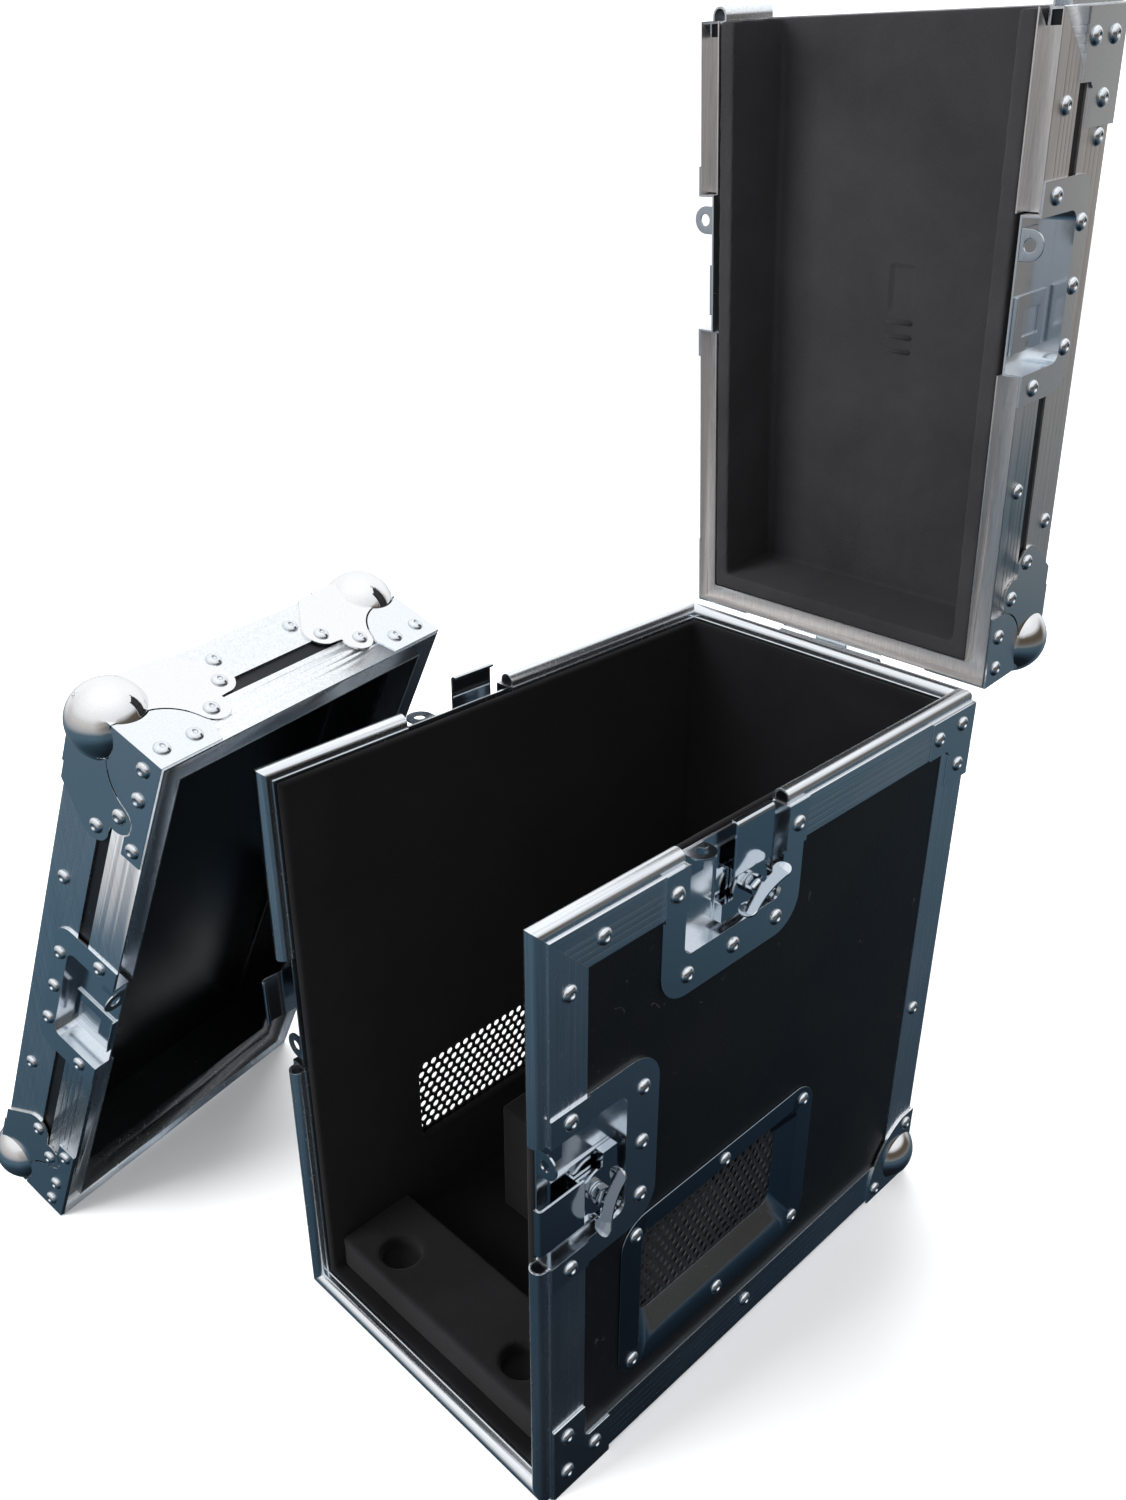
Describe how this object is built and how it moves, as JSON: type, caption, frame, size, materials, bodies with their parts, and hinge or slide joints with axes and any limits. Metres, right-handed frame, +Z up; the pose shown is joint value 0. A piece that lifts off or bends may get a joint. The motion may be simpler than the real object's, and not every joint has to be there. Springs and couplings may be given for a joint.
{
  "type": "equipment flight case",
  "caption": "Upright open-top and open-front flight case with hinged lid, loose front cover, ball corners, butterfly latches and mesh vents.",
  "frame": {"origin": "middle of the case body's underside", "axes": "+Z up, -Y towards the open front, +X to the case's right as seen from the front"},
  "size_m": [0.5075, 0.5528, 0.746],
  "materials": {
    "foam": "matte closed-cell foam sheet",
    "ply": "black laminated plywood, satin",
    "extrusion": "satin anodised",
    "mesh": "black powder coat",
    "bright": "polished",
    "plated": "zinc plated, satin"
  },
  "bodies": {
    "case": {"angles_bottom": "extrusion", "angles_rear": "extrusion", "ball_corners_body": "bright", "foam_block_front": "foam", "foam_block_rear": "foam", "hinge_leaf_body": "plated", "hinge_pin": "plated", "latch_dishes_front": "plated", "latch_dishes_top": "plated", "latch_frames": "bright", "lining_body": "foam", "panel_back": "ply", "panel_bottom": "ply", "panel_left": "ply", "panel_right": "ply", "plates_front_bottom": "plated", "plates_rear_top": "plated", "rail_front_bottom": "extrusion", "rail_front_left": "extrusion", "rail_front_right": "extrusion", "rail_top_back": "extrusion", "rail_top_left": "extrusion", "rail_top_right": "extrusion", "rivets_body": "plated", "vent_dishes": "plated", "vent_meshes": "mesh"},
    "lid": {"hinge_leaf_lid": "plated", "lid_angles": "extrusion", "lid_ball_corners": "bright", "lid_corner_plates": "plated", "lid_front_rails": "extrusion", "lid_keeper_dishes": "plated", "lid_keepers": "bright", "lid_lining": "foam", "lid_panel_top": "ply", "lid_rim_rails": "extrusion", "lid_rivets": "plated", "lid_walls": "ply"},
    "cover": {"cover_angles": "extrusion", "cover_ball_corners": "bright", "cover_corner_plates": "plated", "cover_keeper_dishes": "plated", "cover_keepers": "bright", "cover_lining": "foam", "cover_panel_face": "ply", "cover_rim_rails": "extrusion", "cover_rivets": "plated", "cover_walls": "ply"},
    "spindle_top_right": {"latch_spindle_top_right": "bright"},
    "wing_top_right": {"latch_wing_top_right": "bright"},
    "hook_top_right": {"latch_hook_top_right": "bright"},
    "spindle_top_left": {"latch_spindle_top_left": "bright"},
    "wing_top_left": {"latch_wing_top_left": "bright"},
    "hook_top_left": {"latch_hook_top_left": "bright"},
    "spindle_front_right": {"latch_spindle_front_right": "bright"},
    "wing_front_right": {"latch_wing_front_right": "bright"},
    "hook_front_right": {"latch_hook_front_right": "bright"},
    "spindle_front_left": {"latch_spindle_front_left": "bright"},
    "wing_front_left": {"latch_wing_front_left": "bright"},
    "hook_front_left": {"latch_hook_front_left": "bright"}
  },
  "joints": [
    {"name": "lid_hinge", "type": "hinge", "parent": "case", "child": "lid", "pos_m": [0, 0.1846, 0.373], "axis": [1, 0, 0], "range_deg": [0, 86]},
    {"name": "cover_slide", "type": "slide", "parent": "case", "child": "cover", "axis": [-0.8898, -0.1973, 0.4115], "range_m": [0, 0.3]},
    {"name": "spindle_turn_top_right", "type": "hinge", "parent": "case", "child": "spindle_top_right", "pos_m": [0.11, -0.031, 0.338], "axis": [1, 0, 0], "range_deg": [0, 180]},
    {"name": "wing_fold_top_right", "type": "hinge", "parent": "spindle_top_right", "child": "wing_top_right", "pos_m": [0.11, -0.031, 0.338], "axis": [0, 0.9135, 0.4067], "range_deg": [0, 90]},
    {"name": "hook_slide_top_right", "type": "slide", "parent": "case", "child": "hook_top_right", "axis": [0, 0, 1], "range_m": [0, 0.012]},
    {"name": "spindle_turn_top_left", "type": "hinge", "parent": "case", "child": "spindle_top_left", "pos_m": [-0.11, -0.031, 0.338], "axis": [-1, 0, 0], "range_deg": [-180, 0]},
    {"name": "wing_fold_top_left", "type": "hinge", "parent": "spindle_top_left", "child": "wing_top_left", "pos_m": [-0.11, -0.031, 0.338], "axis": [0, -0.9781, 0.2079], "range_deg": [0, 90]},
    {"name": "hook_slide_top_left", "type": "slide", "parent": "case", "child": "hook_top_left", "axis": [0, 0, 1], "range_m": [-0.012, 0]},
    {"name": "spindle_turn_front_right", "type": "hinge", "parent": "case", "child": "spindle_front_right", "pos_m": [0.11, -0.142, 0.204], "axis": [1, 0, 0], "range_deg": [0, 180]},
    {"name": "wing_fold_front_right", "type": "hinge", "parent": "spindle_front_right", "child": "wing_front_right", "pos_m": [0.11, -0.142, 0.204], "axis": [0, 0.342, 0.9397], "range_deg": [0, 90]},
    {"name": "hook_slide_front_right", "type": "slide", "parent": "case", "child": "hook_front_right", "axis": [0, -1, 0], "range_m": [0, 0.012]},
    {"name": "spindle_turn_front_left", "type": "hinge", "parent": "case", "child": "spindle_front_left", "pos_m": [-0.11, -0.142, 0.234], "axis": [-1, 0, 0], "range_deg": [-180, 0]},
    {"name": "wing_fold_front_left", "type": "hinge", "parent": "spindle_front_left", "child": "wing_front_left", "pos_m": [-0.11, -0.142, 0.234], "axis": [0, 0.1392, -0.9903], "range_deg": [0, 90]},
    {"name": "hook_slide_front_left", "type": "slide", "parent": "case", "child": "hook_front_left", "axis": [0, -1, 0], "range_m": [-0.012, 0]}
  ],
  "couplings": [
    {"joint": "hook_slide_top_right", "follows": "spindle_turn_top_right", "m_per_rad": 0.003819},
    {"joint": "hook_slide_top_left", "follows": "spindle_turn_top_left", "m_per_rad": 0.003819},
    {"joint": "hook_slide_front_right", "follows": "spindle_turn_front_right", "m_per_rad": 0.003819},
    {"joint": "hook_slide_front_left", "follows": "spindle_turn_front_left", "m_per_rad": 0.003819}
  ]
}
